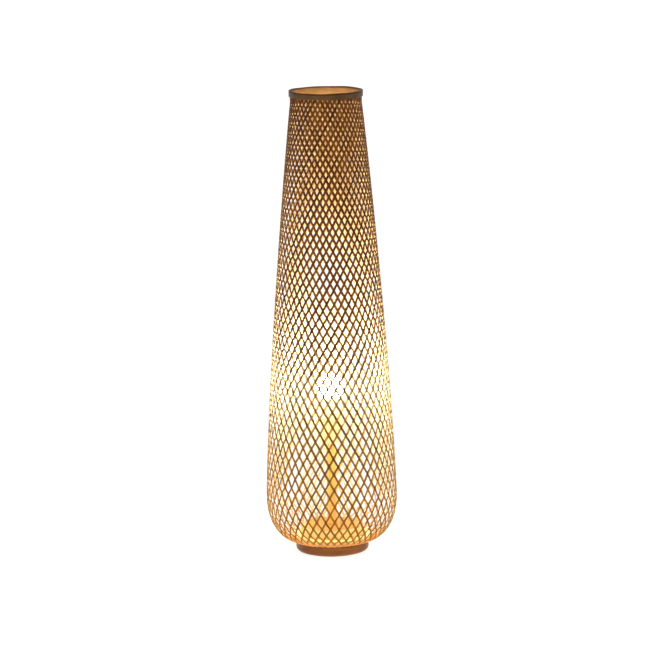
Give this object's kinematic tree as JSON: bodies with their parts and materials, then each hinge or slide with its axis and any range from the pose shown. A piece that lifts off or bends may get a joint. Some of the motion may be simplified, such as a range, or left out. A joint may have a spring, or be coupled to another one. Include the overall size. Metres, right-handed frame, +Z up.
{
  "type": "floor lamp",
  "caption": "Floor lamp with a tall tapered open-weave bamboo shade that lifts off a round wooden foot, and a bulb that unscrews from a lampholder on a short stem.",
  "frame": {"origin": "centre of the underside, on the floor", "axes": "+Z up along the stem, +Y towards the cord inlet at the rear, +X to the right seen from the front"},
  "size_m": [0.262, 0.2618, 0.93],
  "materials": {
    "splint": "stained bamboo, satin",
    "hoop_dark": "dark stained bamboo, satin",
    "hoop_pale": "natural bamboo, satin",
    "foot_wood": "stained wood, satin",
    "plinth_wood": "natural wood, satin",
    "felt": "felt",
    "board": "pressed board",
    "steel": "zinc plated",
    "iron": "rough cast",
    "rubber": "moulded",
    "brass": "stamped",
    "holder_plastic": "moulded, matte",
    "insert_ceramic": "unglazed",
    "lead_brown": "wire insulation",
    "lead_blue": "wire insulation",
    "cap_metal": "rolled thread, bright",
    "insulator_black": "black insulator",
    "housing_white": "moulded, smooth",
    "led_board": "white circuit board",
    "globe": "opal diffuser, lit"
  },
  "bodies": {
    "base": {"base_felt": "felt", "base_cover": "board", "cover_screws": "steel", "base_foot": "foot_wood", "cord_grommet": "rubber", "terminal_block": "holder_plastic", "block_screws": "steel", "ballast_plate": "iron", "plinth_screws": "steel", "plinth": "plinth_wood", "tube_nut": "steel", "tube_washer": "steel", "threaded_tube": "steel", "stem_sleeve": "plinth_wood", "lead_live": "lead_brown", "lead_neutral": "lead_blue", "holder_cap": "holder_plastic", "holder_shell": "holder_plastic", "holder_insert": "insert_ceramic", "holder_terminals": "brass", "screw_shell": "brass", "centre_contact": "brass"},
    "shade": {"woven_shade": "splint", "bottom_hoop": "hoop_pale", "hoop_pegs": "foot_wood", "top_outer_hoop": "hoop_dark", "top_inner_hoop": "hoop_pale", "rim_brads": "steel"},
    "bulb_foot": {"bulb_contact": "steel", "bulb_insulator": "insulator_black"},
    "bulb": {"bulb_screw_cap": "cap_metal", "bulb_housing": "housing_white", "bulb_led_board": "led_board", "bulb_globe": "globe"}
  },
  "joints": [
    {"name": "shade_lift", "type": "slide", "parent": "base", "child": "shade", "axis": [0, 0, 1], "range_m": [0, 0.36]},
    {"name": "bulb_rise", "type": "slide", "parent": "base", "child": "bulb_foot", "axis": [0, 0, 1], "range_m": [0, 0.0109]},
    {"name": "bulb_turn", "type": "hinge", "parent": "bulb_foot", "child": "bulb", "pos_m": [0, 0, 0.3], "axis": [0, 0, 1], "range_deg": [0, 1080]}
  ],
  "couplings": [
    {"joint": "bulb_rise", "follows": "bulb_turn", "m_per_rad": 0.00057757}
  ]
}
